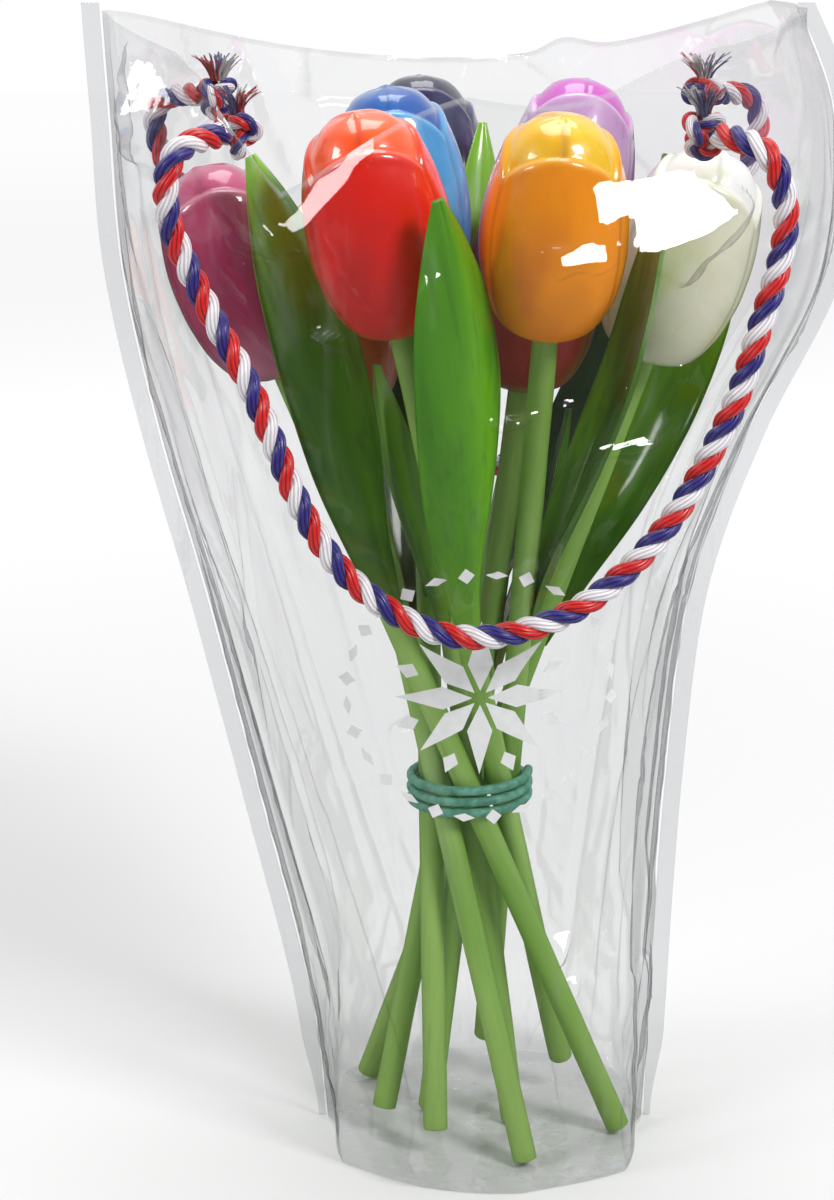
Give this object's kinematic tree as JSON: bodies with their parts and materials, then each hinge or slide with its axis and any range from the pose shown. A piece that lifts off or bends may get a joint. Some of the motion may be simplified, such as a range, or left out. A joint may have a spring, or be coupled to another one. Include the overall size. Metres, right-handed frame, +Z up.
{
  "type": "wooden tulip bouquet",
  "caption": "Bunch of painted wooden tulips with turned stems and carved leaves, tied with a rubber band, standing in a clear film gift bag with twisted cord handles.",
  "frame": {"origin": "middle of the bag's foot, on the surface that it stands on", "axes": "+X to the right seen from the front, -Y to the front, +Z up"},
  "size_m": [0.2356, 0.1772, 0.366],
  "materials": {
    "red_lacquer": "gloss lacquer over paint",
    "yellow_lacquer": "gloss lacquer over paint",
    "white_lacquer": "gloss lacquer over paint",
    "purple_lacquer": "gloss lacquer over paint",
    "navy_lacquer": "gloss lacquer over paint",
    "orange_lacquer": "gloss lacquer over paint",
    "raspberry_lacquer": "gloss lacquer over paint",
    "blue_lacquer": "gloss lacquer over paint",
    "crimson_lacquer": "gloss lacquer over paint",
    "stem_green": "satin paint",
    "leaf_green": "gloss lacquer over paint",
    "teal_rubber": "satin",
    "clear_film": "clear gloss",
    "clear_weld": "clear, ribbed",
    "tricolour_cord": "satin twist"
  },
  "bodies": {
    "bag": {"bag_front_film": "clear_film", "bag_back_film": "clear_film", "bag_foot_film": "clear_film", "bag_left_weld": "clear_weld", "bag_right_weld": "clear_weld", "front_cord": "tricolour_cord", "back_cord": "tricolour_cord", "front_left_knot": "tricolour_cord", "front_right_knot": "tricolour_cord", "back_left_knot": "tricolour_cord", "back_right_knot": "tricolour_cord"},
    "bunch": {"rubber_band": "teal_rubber"},
    "red_tulip": {"red_head": "red_lacquer", "red_stem": "stem_green", "red_leaf": "leaf_green"},
    "yellow_tulip": {"yellow_head": "yellow_lacquer", "yellow_stem": "stem_green", "yellow_leaf": "leaf_green"},
    "white_tulip": {"white_head": "white_lacquer", "white_stem": "stem_green", "white_leaf": "leaf_green"},
    "purple_tulip": {"purple_head": "purple_lacquer", "purple_stem": "stem_green", "purple_leaf": "leaf_green"},
    "navy_tulip": {"navy_head": "navy_lacquer", "navy_stem": "stem_green", "navy_leaf": "leaf_green"},
    "orange_tulip": {"orange_head": "orange_lacquer", "orange_stem": "stem_green", "orange_leaf": "leaf_green"},
    "raspberry_tulip": {"raspberry_head": "raspberry_lacquer", "raspberry_stem": "stem_green", "raspberry_leaf": "leaf_green"},
    "blue_tulip": {"blue_head": "blue_lacquer", "blue_stem": "stem_green", "blue_leaf": "leaf_green"},
    "crimson_tulip": {"crimson_head": "crimson_lacquer", "crimson_stem": "stem_green", "crimson_leaf": "leaf_green"}
  },
  "joints": [
    {"name": "bunch_lift", "type": "slide", "parent": "bag", "child": "bunch", "axis": [0, 0, 1], "range_m": [0, 0.37]},
    {"name": "red_pull", "type": "slide", "parent": "bunch", "child": "red_tulip", "axis": [-0.1943, -0.2357, 0.9522], "range_m": [0, 0.008]},
    {"name": "yellow_pull", "type": "slide", "parent": "bunch", "child": "yellow_tulip", "axis": [0.051, -0.3038, 0.9514], "range_m": [0, 0.008]},
    {"name": "white_pull", "type": "slide", "parent": "bunch", "child": "white_tulip", "axis": [0.3135, -0.1453, 0.9384], "range_m": [0, 0.008]},
    {"name": "purple_pull", "type": "slide", "parent": "bunch", "child": "purple_tulip", "axis": [0.1931, 0.22, 0.9562], "range_m": [0, 0.008]},
    {"name": "navy_pull", "type": "slide", "parent": "bunch", "child": "navy_tulip", "axis": [-0.0141, 0.2878, 0.9576], "range_m": [0, 0.008]},
    {"name": "orange_pull", "type": "slide", "parent": "bunch", "child": "orange_tulip", "axis": [-0.2247, 0.2292, 0.9471], "range_m": [0, 0.008]},
    {"name": "raspberry_pull", "type": "slide", "parent": "bunch", "child": "raspberry_tulip", "axis": [-0.3883, -0.0032, 0.9215], "range_m": [0, 0.008]},
    {"name": "blue_pull", "type": "slide", "parent": "bunch", "child": "blue_tulip", "axis": [-0.1212, 0.0067, 0.9926], "range_m": [0, 0.008]},
    {"name": "crimson_pull", "type": "slide", "parent": "bunch", "child": "crimson_tulip", "axis": [0.1137, -0.0025, 0.9935], "range_m": [0, 0.008]}
  ]
}
